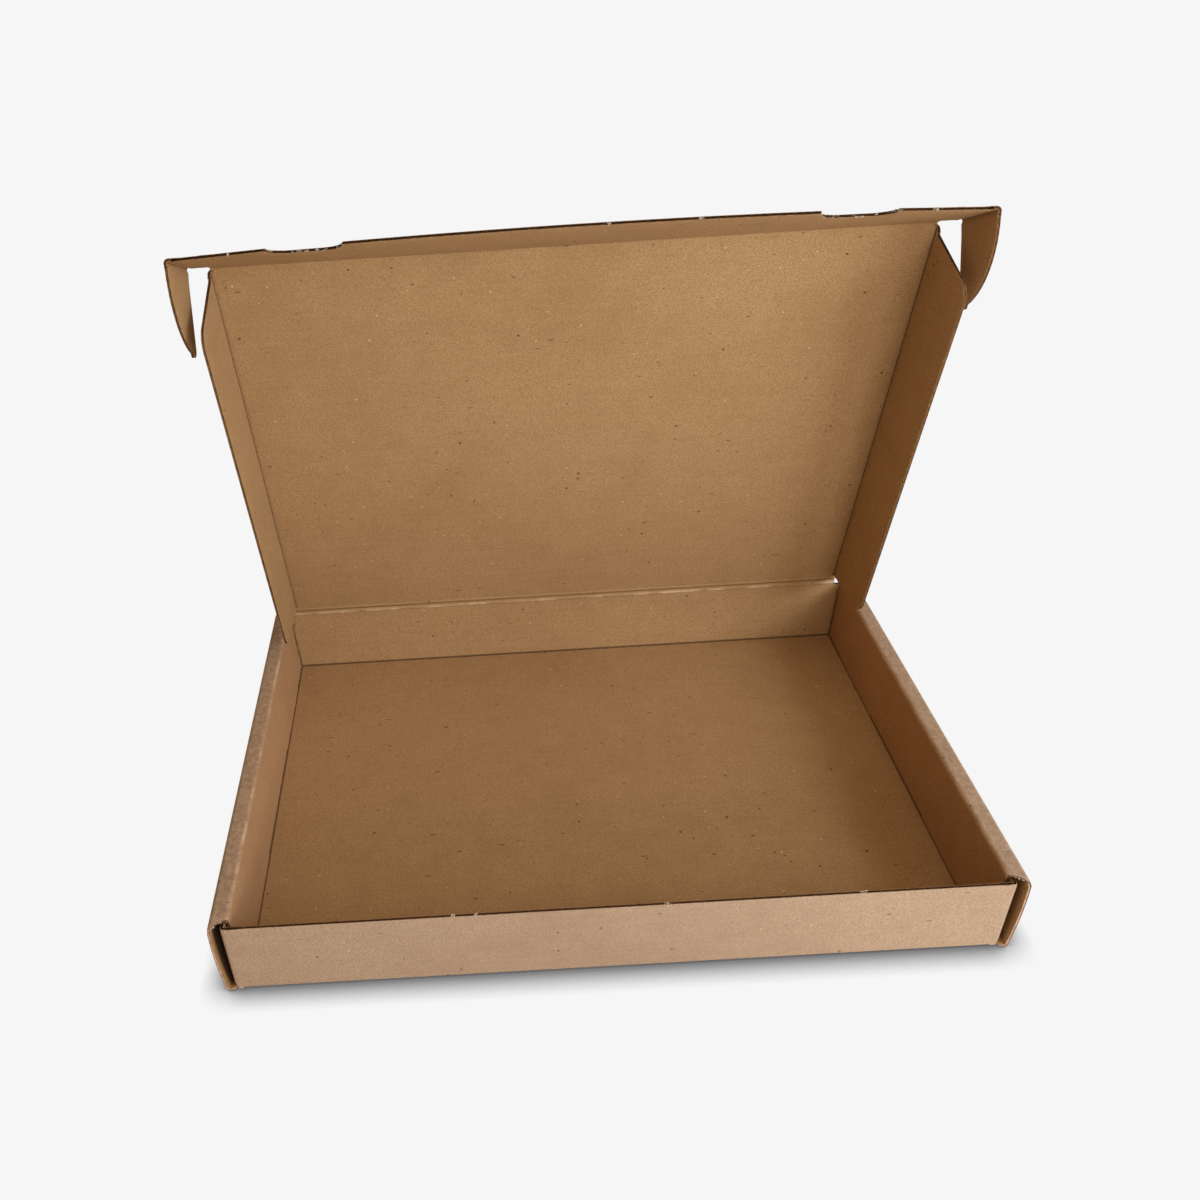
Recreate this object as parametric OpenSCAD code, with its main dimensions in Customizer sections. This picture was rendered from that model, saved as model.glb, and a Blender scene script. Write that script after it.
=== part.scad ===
// Corrugated mailing box with rolled side walls, lid standing open.
// Millimetres. X to the right, Y to the rear, Z up, origin at the middle of the base.
// The box is one die-cut board. The folded tray is one solid, and each flap that swings is another.

/* [Board] */
// Thickness of the corrugated board
board_t = 1.6; // [1.2:0.1:2]

/* [Tray] */
// Outer width across the side walls at the base
tray_w = 329; // [240:1:450]
// Outer depth from the front ends of the side walls to the rear wall
tray_d = 218; // [160:1:320]
// Height of the rolled side walls
wall_h = 40; // [34:1:60]
// How much lower than the side walls the front wall is
front_drop = 1.6; // [0.6:0.1:3]
// How far the front wall stands behind the front ends of the side walls
front_setback = 0.8; // [0:0.1:2]
// How far each outer side wall leans out at its top
side_lean = 1.2; // [0:0.1:2]
// How far each inner side wall leans out at its top
inner_lean = 1.6; // [0:0.1:2]
// How far the rolled strip's inner front corner is cut back
strip_cut = 4.5; // [2:0.5:8]

/* [Corner flaps and lock tabs] */
// Length of the corner flaps folded into the side walls
corner_l = 62; // [45:1:70]
// Taper at the free end of a corner flap
corner_taper = 7; // [3:1:12]
// Length of a lock tab of the inner wall
tab_l = 52; // [25:1:60]
// Distance from the front and rear ends of the side walls to the lock tabs
tab_end_gap = 21; // [8:1:30]

/* [Lid] */
// Distance that the lid's side flaps start in front of the rear crease
flap_start = 4; // [3:0.5:8]
// Slant of the side flaps' rear ends
flap_rear_slant = 8; // [2:0.5:12]
// Slant of the side flaps' front ends
flap_front_slant = 5; // [1:0.5:16]
// Radius of the side flaps' rear corners
flap_rear_r = 11; // [3:0.5:14]
// Radius of the side flaps' front corners
flap_front_r = 8; // [3:0.5:12]

/* [Front flap] */
// Clear height between the closed front flap and the table
front_flap_lift = 4; // [2:0.5:10]
// How much shorter the front flap is at its ends than in the middle
front_flap_taper = 3.5; // [0:0.5:8]
// Step between the lid crease and the ends of the front flap
ear_step = 2.8; // [2.2:0.1:5]
// Length of the ears that lock into the side walls
ear_l = 34.5; // [20:0.5:38]
// Distance from an ear's fold to the finger notch beside it
notch_inset = 39; // [24:1:60]
// Width of a finger notch
notch_w = 30; // [20:1:36]
// Depth of a finger notch
notch_d = 9; // [4:0.5:10]

/* [Clearances] */
// Gap at a crease between two boards that swing
crease_gap = 0.2; // [0.15:0.05:0.3]
// Gap between boards that lie side by side
slide_gap = 0.3; // [0.2:0.05:0.4]
// Room beside an ear in its pocket at the base of a side wall
ear_room = 0.4; // [0.3:0.1:1]
// Gap between the front wall and the closed front flap
front_slack = 2.6; // [1:0.1:3]
// Gap between a side flap and the inner side wall at the floor
flap_side_gap = 1.6; // [1.6:0.1:4]
// Gap between a side flap's edge and the floor with the lid closed
flap_floor_gap = 1.4; // [0.8:0.1:4]

/* [Rest pose] */
// Opening angle of the lid from closed
lid_open = 77; // [0:1:180]
// Fold of the front flap out of the lid's plane
front_fold = 55; // [0:1:90]
// Fold of the ears out of the front flap's plane
ear_fold = 90; // [1:1:90]
// Fold of the left side flap out of the lid's plane
left_fold = 90; // [88:1:170]
// Fold of the right side flap out of the lid's plane
right_fold = 88; // [88:1:170]

/* [Hidden] */
$fn = 48;
// Mid-lines of the floor, the rolled strips and the walls
z_floor = board_t / 2;
z_strip = wall_h - board_t / 2;
x_outer = tray_w / 2 - board_t / 2;
x_outer_top = x_outer + side_lean;
x_pocket = tray_w / 2 - board_t - (board_t + ear_room);
x_corner = x_pocket - board_t / 2;
x_inner_top = x_corner - board_t - slide_gap;
x_inner = x_inner_top - inner_lean;
y_rear = tray_d / 2 - board_t / 2;
y_front = -tray_d / 2 + front_setback + board_t / 2;
y_tab = tray_d / 2 - tab_end_gap - tab_l / 2;
// Heights inside the walls
z_foot = board_t + slide_gap;
corner_top = wall_h - board_t - slide_gap;
front_h = wall_h - front_drop;
floor_lap = 3;
// Creases of the lid
hinge_z = wall_h + crease_gap + board_t / 2;
hinge_cut = board_t / 2 + crease_gap;
lid_l = y_rear - y_front + board_t + front_slack;
lid_w = 2 * (x_inner - board_t / 2 - flap_side_gap - board_t);
flap_d = hinge_z - board_t / 2 - board_t - flap_floor_gap;
flap_last = lid_l - board_t;
// Where the side flaps pass behind the closed front wall
wall_clear_d = hinge_z - board_t / 2 - front_h - slide_gap;
wall_clear_y = y_rear - y_front - board_t / 2 - slide_gap;
// Front flap and ears
front_flap_d = hinge_z - front_flap_lift;
front_end_d = front_flap_d - front_flap_taper;
x_ear = x_pocket + crease_gap;
x_shoulder = x_ear - notch_inset;
notch_x = x_shoulder - notch_w;
ear_r = front_end_d + ear_step;
kraft = "#b48a5e";
kraft_lid = "#a97f52";
kraft_flap = "#9c7146";

function unit(v) = v / norm(v);
function half_angle(a, b, c) = acos(unit(a - b) * unit(c - b)) / 2;
function tangent(a, b, c, r) = b + unit(a - b) * r / tan(half_angle(a, b, c));
function round_centre(a, b, c, r) =
    b + unit(unit(a - b) + unit(c - b)) * r / sin(half_angle(a, b, c));

// A board seen on edge, from point a to point b along its mid-line
module board_2d(a, b) {
    d = b - a;
    translate(a)
        rotate(atan2(d[1], d[0]))
            translate([0, -board_t / 2])
                square([norm(d), board_t]);
}

// A folded board seen on edge, rounded at its folds
module folded_2d(points) {
    for (i = [0 : len(points) - 2])
        board_2d(points[i], points[i + 1]);
    for (i = [1 : len(points) - 2])
        translate(points[i])
            circle(d = board_t);
}

// An outline whose convex corners have the radii given
module rounded_2d(points, radii) {
    n = len(points);
    polygon([
        for (i = [0 : n - 1])
            let (a = points[(i + n - 1) % n], b = points[i], c = points[(i + 1) % n])
                each radii[i] == 0
                    ? [b]
                    : [tangent(a, b, c, radii[i]), tangent(c, b, a, radii[i])]
    ]);
    for (i = [0 : n - 1])
        if (radii[i] > 0)
            translate(round_centre(
                points[(i + n - 1) % n], points[i], points[(i + 1) % n], radii[i]
            ))
                circle(r = radii[i]);
}

// A section in X and Z run along Y
module along_y(y0, y1) {
    translate([0, y1, 0])
        rotate([90, 0, 0])
            linear_extrude(y1 - y0)
                children();
}

// An outline in Y and Z run along X
module along_x(x0, x1) {
    translate([x0, 0, 0])
        rotate([90, 0, 90])
            linear_extrude(x1 - x0)
                children();
}

module both_sides() {
    children();
    mirror([1, 0, 0])
        children();
}

module both_ends_of_tabs() {
    for (end = [-1, 1])
        translate([0, end * y_tab, 0])
            children();
}

module floor_panel() {
    difference() {
        translate([-x_outer, y_front, 0])
            cube([2 * x_outer, y_rear - y_front, board_t]);
        both_sides()
            both_ends_of_tabs()
                translate([
                    x_inner - board_t / 2 - slide_gap, -tab_l / 2 - slide_gap, -board_t
                ])
                    cube([
                        board_t + 2 * slide_gap, tab_l + 2 * slide_gap, 3 * board_t
                    ]);
    }
}

module outer_wall() {
    along_y(-tray_d / 2, tray_d / 2)
        folded_2d([
            [x_outer - floor_lap, z_floor], [x_outer, z_floor], [x_outer_top, z_strip]
        ]);
}

// The top strip and the inner wall, rolled over from the outer wall
module rolled_wall() {
    y_end = y_rear - board_t / 2 - slide_gap;
    y_inner = y_front + board_t / 2 + slide_gap;
    x_far = x_outer_top + board_t;
    x_near = x_inner - board_t;
    intersection() {
        along_y(-tray_d / 2, y_end) {
            folded_2d([
                [x_outer_top, z_strip], [x_inner_top, z_strip], [x_inner, z_foot]
            ]);
            translate([x_outer_top, z_strip])
                circle(d = board_t);
        }
        linear_extrude(2 * wall_h)
            polygon([
                [x_near, y_end + board_t], [x_far, y_end + board_t],
                [x_far, -tray_d / 2], [x_outer_top, -tray_d / 2],
                [x_inner_top, y_inner + strip_cut], [x_near, y_inner + strip_cut]
            ]);
    }
}

module lock_tabs() {
    both_ends_of_tabs()
        translate([x_inner - board_t / 2, -tab_l / 2, slide_gap])
            cube([board_t, tab_l, z_foot + slide_gap]);
}

// Corner flap standing inside the side wall, its fold at y = 0
module corner_flap() {
    along_x(x_corner - board_t / 2, x_corner + board_t / 2)
        rounded_2d(
            [
                [0, z_foot], [corner_l, z_foot + corner_taper],
                [corner_l, corner_top - corner_taper], [0, corner_top]
            ],
            [0, corner_taper / 2, corner_taper / 2, 0]
        );
}

// A wall across the box with its rounded folds and both corner flaps
module end_wall(height) {
    translate([-x_corner, -board_t / 2, z_floor])
        cube([2 * x_corner, board_t, height - z_floor]);
    both_sides() {
        translate([x_corner, 0, z_foot])
            cylinder(d = board_t, h = corner_top - z_foot);
        corner_flap();
    }
    along_x(-x_corner, x_corner)
        translate([0, z_floor])
            circle(d = board_t);
}

module tray() {
    color(kraft) {
        floor_panel();
        both_sides() {
            outer_wall();
            rolled_wall();
            lock_tabs();
        }
        translate([0, y_front, 0])
            end_wall(front_h);
        translate([0, y_rear, 0]) {
            mirror([0, 1, 0])
                end_wall(corner_top);
            translate([-lid_w / 2, -board_t / 2, corner_top - board_t])
                cube([lid_w, board_t, hinge_z - corner_top + board_t]);
            along_x(-lid_w / 2, lid_w / 2)
                translate([0, hinge_z])
                    circle(d = board_t);
        }
    }
}

// Frame of the lid: its Y runs from the rear crease, its Z out of the inner face
module on_lid() {
    translate([0, y_rear, hinge_z])
        rotate([180 - lid_open, 0, 0])
            children();
}

// Frame of the front flap, which folds at the lid's front crease
module on_front_flap() {
    on_lid()
        translate([0, lid_l, 0])
            rotate([front_fold, 0, 0])
                children();
}

// Rounded outer face of a fold along the lid's side
module fold_round() {
    intersection() {
        translate([lid_w / 2, board_t / 2])
            circle(r = board_t);
        translate([lid_w / 2 - board_t, -2 * board_t])
            square([3 * board_t, 2.5 * board_t]);
    }
}

module lid_panel() {
    color(kraft_lid)
        on_lid() {
            translate([-lid_w / 2, hinge_cut, -board_t / 2])
                cube([lid_w, lid_l - hinge_cut, board_t]);
            both_sides()
                along_y(flap_start, flap_last)
                    fold_round();
            translate([0, lid_l, 0])
                along_x(-lid_w / 2, lid_w / 2)
                    circle(d = board_t);
        }
}

// Side flap on the right, turned about the lid's inner edge
module side_flap(fold) {
    translate([lid_w / 2, 0, board_t / 2])
        rotate([0, -fold, 0])
            translate([0, 0, -board_t])
                linear_extrude(board_t)
                    rounded_2d(
                        [
                            [crease_gap, flap_start],
                            [flap_d, flap_start + flap_rear_slant],
                            [flap_d, wall_clear_y - flap_front_slant],
                            [wall_clear_d, wall_clear_y],
                            [crease_gap, flap_last]
                        ],
                        [0, flap_rear_r, flap_front_r, 0, 0]
                    );
}

module lid_flap_right() {
    color(kraft_flap)
        on_lid()
            side_flap(right_fold);
}

module lid_flap_left() {
    color(kraft_flap)
        on_lid()
            mirror([1, 0, 0])
                side_flap(left_fold);
}

// Finger notch in the front flap's free edge
module notch_2d() {
    for (x = [notch_x + notch_d, x_shoulder - notch_d])
        translate([x, front_flap_d])
            circle(r = notch_d);
    translate([notch_x + notch_d, front_flap_d - notch_d])
        square([notch_w - 2 * notch_d, 2 * notch_d]);
}

module front_flap_2d() {
    x_end = x_ear - crease_gap;
    translate([-lid_w / 2, hinge_cut])
        square([lid_w, ear_step]);
    difference() {
        polygon([
            [-x_end, ear_step], [x_end, ear_step], [x_end, front_end_d],
            [x_shoulder, front_flap_d], [-x_shoulder, front_flap_d],
            [-x_end, front_end_d]
        ]);
        both_sides()
            notch_2d();
    }
}

module front_flap() {
    color(kraft_flap)
        on_front_flap()
            translate([0, 0, -board_t / 2])
                linear_extrude(board_t)
                    front_flap_2d();
}

// Ear outline: X away from its fold, Y along the fold
module ear_2d() {
    intersection() {
        translate([0, front_end_d - ear_r])
            circle(r = ear_r);
        translate([crease_gap, ear_step])
            square([ear_l - crease_gap, front_end_d]);
    }
}

// Ear on the right, turned about the front flap's inner face
module ear() {
    translate([x_ear, 0, board_t / 2])
        rotate([0, -ear_fold, 0])
            translate([0, 0, -board_t])
                linear_extrude(board_t)
                    ear_2d();
}

module front_ear_right() {
    color(kraft_flap)
        on_front_flap()
            ear();
}

module front_ear_left() {
    color(kraft_flap)
        on_front_flap()
            mirror([1, 0, 0])
                ear();
}

tray();
lid_panel();
lid_flap_left();
lid_flap_right();
front_flap();
front_ear_left();
front_ear_right();
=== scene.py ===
# %% [markdown]
# A mailing box is one sheet of corrugated board, cut by a die and folded by hand.
# This lesson makes it the same way: flat outlines first, then folds, then the fluted
# paper that shows between the two liners at every cut edge, then the paper itself.
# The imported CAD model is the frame. Each piece here takes the place of one of its solids.

# %% Frame
from math import cos, sin, pi, radians

import bpy
import bmesh
import numpy as np
from mathutils import Matrix, Vector
from mathutils.geometry import delaunay_2d_cdt


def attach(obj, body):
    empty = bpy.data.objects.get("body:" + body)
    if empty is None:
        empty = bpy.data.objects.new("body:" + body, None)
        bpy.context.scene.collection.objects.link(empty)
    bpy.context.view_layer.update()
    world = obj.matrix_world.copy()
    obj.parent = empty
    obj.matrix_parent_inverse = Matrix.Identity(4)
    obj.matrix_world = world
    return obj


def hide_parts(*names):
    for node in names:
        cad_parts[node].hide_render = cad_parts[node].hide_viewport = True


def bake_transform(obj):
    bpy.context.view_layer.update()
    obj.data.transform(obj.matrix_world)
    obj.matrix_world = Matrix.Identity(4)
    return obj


def add(name, data):
    """A new object in the scene."""
    made = bpy.data.objects.new(name, data)
    bpy.context.scene.collection.objects.link(made)
    return made


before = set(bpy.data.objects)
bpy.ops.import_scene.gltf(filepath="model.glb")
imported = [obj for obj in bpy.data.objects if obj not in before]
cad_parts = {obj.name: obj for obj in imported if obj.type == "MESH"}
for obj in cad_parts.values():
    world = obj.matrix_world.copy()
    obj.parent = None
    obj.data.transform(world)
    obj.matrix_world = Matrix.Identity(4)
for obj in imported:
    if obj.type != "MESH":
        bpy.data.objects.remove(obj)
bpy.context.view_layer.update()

# %% [markdown]
# The sizes are those of the solids, in millimetres, because a box maker thinks in
# millimetres. Blender works in metres, so each mesh is scaled once, when it is made.
# The lid and the front flap stand at an angle, so each has its own directions:
# one along the board, one out of its inner face.

# %% Sizes
MM = 0.001
BOARD = 1.6
HALF = BOARD / 2
LINER = 0.18
FLUTE_PITCH = 3.3
FRONT_TOP = 38.4
REAR_Y = 108.2
FRONT_Y = -107.4
LID_HALF = 152.6
LID_LONG = 219.8
FLAP_DEEP = 37.2
EAR_X = 161.1
EAR_STEP = 2.8
FLAP_END = 33.5
FLAP_MID = 37.0
LID_OPEN = radians(77)
FRONT_FOLD = radians(55)
EX = np.array([1.0, 0.0, 0.0])
LID_ALONG = np.array([0.0, -cos(LID_OPEN), sin(LID_OPEN)])
LID_IN = np.array([0.0, -sin(LID_OPEN), -cos(LID_OPEN)])
FLAP_ALONG = cos(FRONT_FOLD) * LID_ALONG + sin(FRONT_FOLD) * LID_IN
FLAP_IN = cos(FRONT_FOLD) * LID_IN - sin(FRONT_FOLD) * LID_ALONG
HINGE_Z = 41.0
HINGE = np.array([0.0, REAR_Y, HINGE_Z])
CREASE = HINGE + LID_LONG * LID_ALONG
print("front crease at", CREASE.round(2), "mm")

# %% [markdown]
# The camera stands where the photographer stood: close, a little left of the middle
# and looking down into the tray. The picture was cropped off centre afterwards,
# so the lens is shifted by the same amount.

# %% Camera
IMAGE = 1200
FOCAL_PX = 1051.72
PRINCIPAL = (471.53, 576.22)
CAMERA_AT = np.array([-46.53, -383.3, 387.17])
YAW, PITCH, ROLL = radians(-0.643), radians(56.158), radians(-3.825)


def camera_axes():
    forward = np.array([sin(YAW) * sin(PITCH), cos(YAW) * sin(PITCH), -cos(PITCH)])
    level = np.array([cos(YAW), -sin(YAW), 0.0])
    upright = np.cross(level, forward)
    right = cos(ROLL) * level + sin(ROLL) * upright
    up = -sin(ROLL) * level + cos(ROLL) * upright
    return right, up, forward


right, up, forward = camera_axes()
lens = bpy.data.cameras.new("photo_lens")
lens.sensor_width = 36.0
lens.lens = FOCAL_PX * 36.0 / IMAGE
lens.shift_x = 0.5 - PRINCIPAL[0] / IMAGE
lens.shift_y = PRINCIPAL[1] / IMAGE - 0.5
lens.clip_start = 0.01
camera = add("photo_camera", lens)
turn = Matrix((right, up, -forward)).transposed().to_4x4()
camera.matrix_world = Matrix.Translation(Vector(CAMERA_AT * MM)) @ turn
bpy.context.scene.camera = camera
print("lens", round(lens.lens, 2), "mm, shift", round(lens.shift_x, 4), round(lens.shift_y, 4))

# %% [markdown]
# Shader maths reads best as arithmetic. A Wire is a socket that can be added,
# multiplied and compared, and every other node comes from Wire.node.

# %% Shader wires


class Wire:
    """A node's output socket that takes part in arithmetic."""

    def __init__(self, socket):
        self.socket = socket

    @staticmethod
    def node(tree, kind, settings=None, sockets=None, out=0):
        node = tree.nodes.new(kind)
        for name, value in (settings or {}).items():
            setattr(node, name, value)
        for name, value in (sockets or {}).items():
            if isinstance(value, Wire):
                tree.links.new(value.socket, node.inputs[name])
            else:
                node.inputs[name].default_value = value
        return Wire(node.outputs[out]) if node.outputs else None

    def maths(self, operation, first, second=0.0):
        tree = self.socket.id_data
        return Wire.node(tree, "ShaderNodeMath", {"operation": operation}, {0: first, 1: second})

    def __add__(self, other):
        return self.maths("ADD", self, other)

    __radd__ = __add__

    def __sub__(self, other):
        return self.maths("SUBTRACT", self, other)

    def __rsub__(self, other):
        return self.maths("SUBTRACT", other, self)

    def __mul__(self, other):
        return self.maths("MULTIPLY", self, other)

    __rmul__ = __mul__

    def __truediv__(self, other):
        return self.maths("DIVIDE", self, other)

    def __pow__(self, other):
        return self.maths("POWER", self, other)

    def below(self, limit):
        return self.maths("LESS_THAN", self, limit)

    def sine(self):
        return self.maths("SINE", self)

    def clamp(self):
        return self.maths("MINIMUM", self.maths("MAXIMUM", self, 0.0), 1.0)


def linear(red, green, blue):
    """A colour as it looks on screen, 0 to 255, as the linear colour that a shader takes."""
    def one(value):
        value = value / 255
        return value / 12.92 if value <= 0.04045 else ((value + 0.055) / 1.055) ** 2.4
    return (one(red), one(green), one(blue), 1.0)


def new_material(name):
    material = bpy.data.materials.new(name)
    material.use_nodes = True
    tree = material.node_tree
    tree.nodes.clear()
    return material, tree


def mix_colour(tree, factor, first, second, blend="MIX"):
    return Wire.node(
        tree, "ShaderNodeMix", {"data_type": "RGBA", "blend_type": blend},
        {0: factor, 6: first, 7: second}, out=2,
    )


print("shader wires ready")

# %% [markdown]
# The studio is plain. A soft lamp stands to the right, which leaves the faces that look left
# dark, as in the photograph. A weaker one stands low in front and another hangs overhead. The
# fill is warm and the lamp a little cool, so that shaded board looks redder than lit board.
# The floor is pale. To the camera it is a flat white that runs into the backdrop, with the
# soft shadow that lies along the front edge; to the light it is plain white paper.

# %% Light and floor
WHITE = (0.922, 0.922, 0.922, 1.0)
AMBIENT = 0.33
WARM = (1.0, 0.76, 0.45, 1.0)
FLOOR_WIDE = 6.0


def soft_lamp(name, place, aim, wide, tall, watts, colour):
    lamp = bpy.data.lights.new(name, "AREA")
    lamp.shape = "RECTANGLE"
    lamp.size = wide
    lamp.size_y = tall
    lamp.energy = watts
    lamp.color = colour
    holder = add(name, lamp)
    holder.location = place
    holder.rotation_euler = (Vector(aim) - Vector(place)).to_track_quat("-Z", "Y").to_euler()


soft_lamp("window_lamp", (0.70, -0.45, 0.45), (0, 0, 0.1), 0.5, 0.4, 5.0, (0.86, 1.0, 1.16))
soft_lamp("front_lamp", (0.25, -0.80, 0.25), (0, 0, 0.05), 0.4, 0.2, 2.65, (1.0, 1.0, 1.0))
soft_lamp("overhead_lamp", (0.10, -0.30, 1.20), (0, 0, 0), 0.5, 0.5, 1.55, (1.1, 1.0, 0.95))

world = bpy.data.worlds.new("studio")
bpy.context.scene.world = world
world.use_nodes = True
sky = world.node_tree
sky.nodes.clear()
seen = Wire.node(sky, "ShaderNodeLightPath", out="Is Camera Ray")
for ray in ("Is Glossy Ray", "Is Transmission Ray"):
    seen = seen + Wire.node(sky, "ShaderNodeLightPath", out=ray)
around = Wire.node(sky, "ShaderNodeBackground", None, {"Color": WARM, "Strength": AMBIENT})
plain = Wire.node(sky, "ShaderNodeBackground", None, {"Color": WHITE, "Strength": 1.0})
both = Wire.node(sky, "ShaderNodeMixShader", None, {0: seen.clamp(), 1: around, 2: plain})
Wire.node(sky, "ShaderNodeOutputWorld", None, {"Surface": both})

floor_paper, tree = new_material("pale_floor")
paper = Wire.node(tree, "ShaderNodeBsdfDiffuse", None, {"Color": (0.9, 0.9, 0.9, 1)})
spot = Wire.node(tree, "ShaderNodeTexCoord", out="Object")
depth = Wire.node(tree, "ShaderNodeSeparateXYZ", None, {0: spot}, out=1)
ahead = ((-0.06 - depth) * 25.0).clamp()
open_sky = Wire.node(
    tree, "ShaderNodeAmbientOcclusion", {"samples": 12}, {"Distance": 0.0125}, out="AO"
)
shade = 1.0 - ahead * ((1.0 - open_sky) * 1.9).clamp() * 0.86
white = mix_colour(tree, shade, (0.0, 0.0, 0.0, 1), WHITE)
glow = Wire.node(tree, "ShaderNodeEmission", None, {"Color": white, "Strength": 1.0})
seen = Wire.node(tree, "ShaderNodeLightPath", out="Is Camera Ray")
mixed = Wire.node(tree, "ShaderNodeMixShader", None, {0: seen, 1: paper, 2: glow})
Wire.node(tree, "ShaderNodeOutputMaterial", None, {"Surface": mixed})

floor_mesh = bpy.data.meshes.new("floor")
floor_corners = [(x * FLOOR_WIDE, y * FLOOR_WIDE, 0) for x, y in ((-1, -1), (1, -1), (1, 1), (-1, 1))]
floor_mesh.from_pydata(floor_corners, [], [(0, 1, 2, 3)])
floor_mesh.materials.append(floor_paper)
floor = add("studio_floor", floor_mesh)
floor.location.z = -0.0002
bpy.context.scene.view_settings.view_transform = "Standard"
print("three lamps, pale floor")

# %% [markdown]
# Kraft liner is brown paper made of long soft fibres, some of them recycled. Up close it
# shows cloudy patches, a fine grain, faint streaks where the web ran through the machine,
# dark flecks and a few pale specks. All of it is a mix of noises at those sizes, in the
# box's own coordinates, so that the paper runs on from panel to panel. The outer liner is
# paler and pinker than the inner one. On the walls that are rolled inside and in the pockets,
# which the mesh attribute inside marks, a warm tint is painted shade for light bounced about
# inside the box. Another attribute paints shade where the board is creased, in the corners,
# in the pockets and along the foot of the inner walls. The attribute worn marks where a fold
# is rubbed pale, and scuffed where the paper is blotchy.

# %% Kraft liners


def noise(tree, coords, scale, detail=2.0, rough=0.5):
    return Wire.node(
        tree, "ShaderNodeTexNoise", None,
        {"Vector": coords, "Scale": scale, "Detail": detail, "Roughness": rough},
    )


def dots(tree, coords, scale, smallest, largest, lean=(0, 0, 0), stretch=1.0):
    """Specks of mixed sizes, as 0 or 1, drawn out along one line. Sizes are in metres."""
    turned = Wire.node(
        tree, "ShaderNodeMapping", None,
        {"Vector": coords, "Rotation": lean, "Scale": (1 / stretch, 1.0, 1.0)},
    )
    place, lot = [
        Wire.node(tree, "ShaderNodeTexVoronoi", None, {"Vector": turned, "Scale": scale}, out=out)
        for out in ("Distance", "Color")
    ]
    chance = Wire.node(tree, "ShaderNodeSeparateColor", None, {0: lot}, out=0)
    size = (chance ** 2.5) * ((largest - smallest) * scale) + smallest * scale
    return place.below(size)


# Dark flecks: lean, scale, largest size and stretch
FLECKS = (
    ((0.0, 0.0, 0.0), 170.0, 0.00072, 1.0),
    ((0.6, 0.4, 0.8), 240.0, 0.00036, 3.5),
    ((-0.5, 0.9, -0.4), 240.0, 0.00032, 4.5),
)
FLECK_SMALLEST = 0.00005
SPECK_LARGEST = 0.00055
CLOUD_SHIFT = (-0.25, -0.82, 0.32)
# Painted shade: a warm tint for the light bounced about inside the box.
PAINTED_SHADE_TINT = (1.04, 0.86, 0.62, 1.0)


def mark(tree, name):
    """The mesh attribute of this name."""
    return Wire.node(tree, "ShaderNodeAttribute", {"attribute_name": name}, out="Fac")


def paper_surface(tree, colour, roughness, shine, bump):
    """The matt surface of a paper. bump is its strength, depth in metres and height."""
    relief = Wire.node(
        tree, "ShaderNodeBump", None, dict(zip(("Strength", "Distance", "Height"), bump))
    )
    surface = Wire.node(
        tree, "ShaderNodeBsdfPrincipled", None,
        {"Base Color": colour, "Roughness": roughness, "Normal": relief, "Specular IOR Level": shine},
    )
    Wire.node(tree, "ShaderNodeOutputMaterial", None, {"Surface": surface})


def liner(name, pale, deep, grain_share, fleck_share):
    material, tree = new_material(name)
    coords = Wire.node(tree, "ShaderNodeTexCoord", out="Object")
    run = Wire.node(tree, "ShaderNodeMapping", None, {"Vector": coords, "Scale": (30.0, 620.0, 620.0)})
    drift = Wire.node(tree, "ShaderNodeMapping", None, {"Vector": coords, "Location": CLOUD_SHIFT})
    cloud = noise(tree, drift, 11.0, 4.0, 0.55)
    patch = noise(tree, coords, 85.0, 3.0)
    grain = noise(tree, coords, 1700.0, 2.0)
    fine = noise(tree, coords, 3000.0, 2.0, 0.6)
    streak = noise(tree, run, 1.0, 2.0)
    tone = 0.5 + (cloud - 0.5) * 0.75 + (patch - 0.5) * 0.4 + (streak - 0.5) * 0.3
    rough_spots = ((cloud - 0.42) * 3.0 + (patch - 0.5) * 1.5).clamp() * 0.7 + 0.5
    tone = tone + ((grain - 0.5) * 0.7 + (fine - 0.5) * 1.5) * grain_share * rough_spots
    tone = tone + (noise(tree, coords, 420.0, 3.0, 0.65) - 0.5) * mark(tree, "scuffed") * 3.0
    colour = mix_colour(tree, tone.clamp(), deep, pale)
    # Painted shade: inside the box the paper is tinted warm, as bounced light would redden it.
    colour = mix_colour(tree, mark(tree, "inside"), colour, PAINTED_SHADE_TINT, "MULTIPLY")
    for lean, scale, largest, stretch in FLECKS:
        dark = dots(tree, coords, scale, FLECK_SMALLEST, largest, lean, stretch) * fleck_share
        colour = mix_colour(tree, dark, colour, linear(84, 52, 26))
    bright = dots(tree, coords, 200.0, FLECK_SMALLEST, SPECK_LARGEST) * 0.5
    colour = mix_colour(tree, bright, colour, linear(226, 200, 160))
    rubbed = (mark(tree, "worn") * ((patch - 0.42) * 5.0).clamp()).clamp()
    colour = mix_colour(tree, rubbed, colour, linear(214, 184, 150))
    # Painted shade: this mark darkens the paper in creases, corners, pockets and along the inner walls'
    # foot.
    colour = mix_colour(tree, mark(tree, "painted_shade") * 0.92, colour, linear(52, 26, 11))
    x = Wire.node(tree, "ShaderNodeSeparateXYZ", None, {0: coords}, out=0)
    washboard = (x * (2 * pi / (FLUTE_PITCH * MM))).sine() * 0.05
    height = (grain - 0.5) * 0.5 + (fine - 0.5) * 0.5 + washboard + (patch - 0.5) * 0.4
    paper_surface(tree, colour, 0.86 + (cloud - 0.5) * 0.16, 0.22, (0.35, 0.00022, height))
    return material


inner_liner = liner("inner_liner", linear(186, 149, 105), linear(152, 114, 73), 3.8, 0.75)
outer_liner = liner("outer_liner", linear(188, 159, 132), linear(152, 122, 97), 2.9, 0.6)
print("liners:", inner_liner.name, outer_liner.name)

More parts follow.
